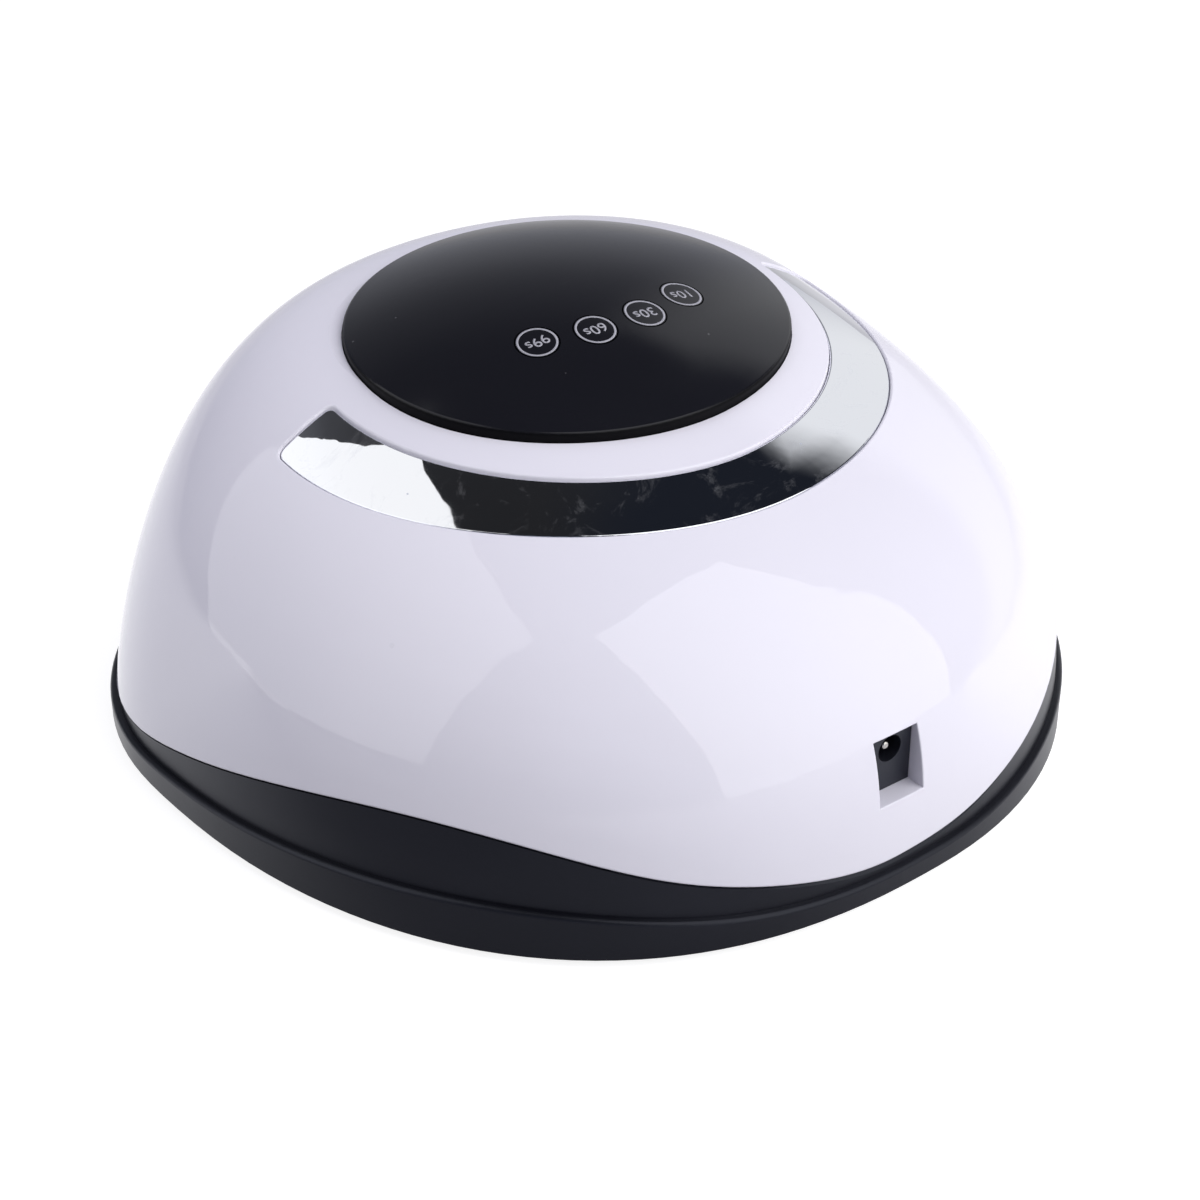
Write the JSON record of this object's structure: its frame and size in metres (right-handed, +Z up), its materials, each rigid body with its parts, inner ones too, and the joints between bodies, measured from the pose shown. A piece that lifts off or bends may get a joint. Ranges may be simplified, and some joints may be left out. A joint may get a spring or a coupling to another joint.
{
  "type": "led nail lamp",
  "caption": "Domed mains-adapter lamp that cures nail gel, with a hand chamber at the front, flush time keys on a domed panel, a chrome band and a magnetic base tray.",
  "frame": {"origin": "middle of the bounding box, on the surface that the rubber feet stand on", "axes": "+Z up, -Y towards the user's hand opening, +Y towards the power socket, +X to the user's right"},
  "size_m": [0.219, 0.2154, 0.1005],
  "materials": {
    "shell_white": "glossy white ABS with a faint cool tint",
    "chrome": "mirror chrome plating",
    "panel_black": "deep gloss black",
    "base_black": "satin black ABS",
    "socket_black": "black moulded insulator",
    "contact_metal": "bright nickel",
    "liner_silver": "vacuum plated reflector",
    "sensor_dark": "dark infra-red lens",
    "steel": "zinc plated",
    "magnet": "nickel plated magnet",
    "rubber": "soft black",
    "sheet_mirror": "reflective film",
    "board_green": "solder mask over glass laminate",
    "board_white": "white solder mask",
    "display_black": "dark digit display",
    "switch_black": "moulded",
    "can_aluminium": "bare can",
    "coil_copper": "enamelled copper",
    "connector_white": "nylon",
    "lead_grey": "insulated lead",
    "lamp_clear": "clear moulded lens"
  },
  "bodies": {
    "lamp": {"upper_shell": "shell_white", "chrome_band": "chrome", "control_panel": "panel_black", "tact_switches": "switch_black", "control_board": "board_green", "display_module": "display_black", "control_board_screws": "steel", "dc_socket_body": "socket_black", "dc_socket_pin": "contact_metal", "dc_socket_contact": "contact_metal", "opening_trim": "base_black", "reflector_liner": "liner_silver", "hand_sensors": "sensor_dark", "base_frame": "base_black", "frame_screws": "steel", "liner_screws": "steel", "frame_magnets": "magnet", "main_board": "board_green", "main_board_screws": "steel", "main_board_capacitors": "can_aluminium", "main_board_coil": "coil_copper", "main_board_chips": "switch_black", "main_board_connectors": "connector_white", "control_connector": "connector_white", "led_connector": "connector_white", "socket_leads": "lead_grey", "panel_lead": "lead_grey", "led_lead": "lead_grey", "led_board_top": "board_white", "led_lamps_top": "lamp_clear", "led_board_right_slope": "board_white", "led_lamps_right_slope": "lamp_clear", "led_board_left_slope": "board_white", "led_lamps_left_slope": "lamp_clear", "led_board_right_side": "board_white", "led_lamps_right_side": "lamp_clear", "led_board_left_side": "board_white", "led_lamps_left_side": "lamp_clear", "led_board_back": "board_white", "led_lamps_back": "lamp_clear"},
    "tray": {"bottom_tray": "base_black", "tray_keepers": "steel", "tray_feet": "rubber", "tray_sheet": "sheet_mirror"},
    "key_10s": {"key_10s": "panel_black", "plunger_10s": "switch_black"},
    "key_30s": {"key_30s": "panel_black", "plunger_30s": "switch_black"},
    "key_60s": {"key_60s": "panel_black", "plunger_60s": "switch_black"},
    "key_99s": {"key_99s": "panel_black", "plunger_99s": "switch_black"}
  },
  "joints": [
    {"name": "tray_drop", "type": "slide", "parent": "lamp", "child": "tray", "axis": [0, 0, -1], "range_m": [0, 0.04]},
    {"name": "key_10s_press", "type": "slide", "parent": "lamp", "child": "key_10s", "axis": [0, -0.0765, -0.9971], "range_m": [0, 0.0005], "stiffness_N_per_m": 300, "springref_m": -0.0003},
    {"name": "key_30s_press", "type": "slide", "parent": "lamp", "child": "key_30s", "axis": [0, -0.0765, -0.9971], "range_m": [0, 0.0005], "stiffness_N_per_m": 300, "springref_m": -0.0003},
    {"name": "key_60s_press", "type": "slide", "parent": "lamp", "child": "key_60s", "axis": [0, -0.0765, -0.9971], "range_m": [0, 0.0005], "stiffness_N_per_m": 300, "springref_m": -0.0003},
    {"name": "key_99s_press", "type": "slide", "parent": "lamp", "child": "key_99s", "axis": [0, -0.0765, -0.9971], "range_m": [0, 0.0005], "stiffness_N_per_m": 300, "springref_m": -0.0003}
  ]
}
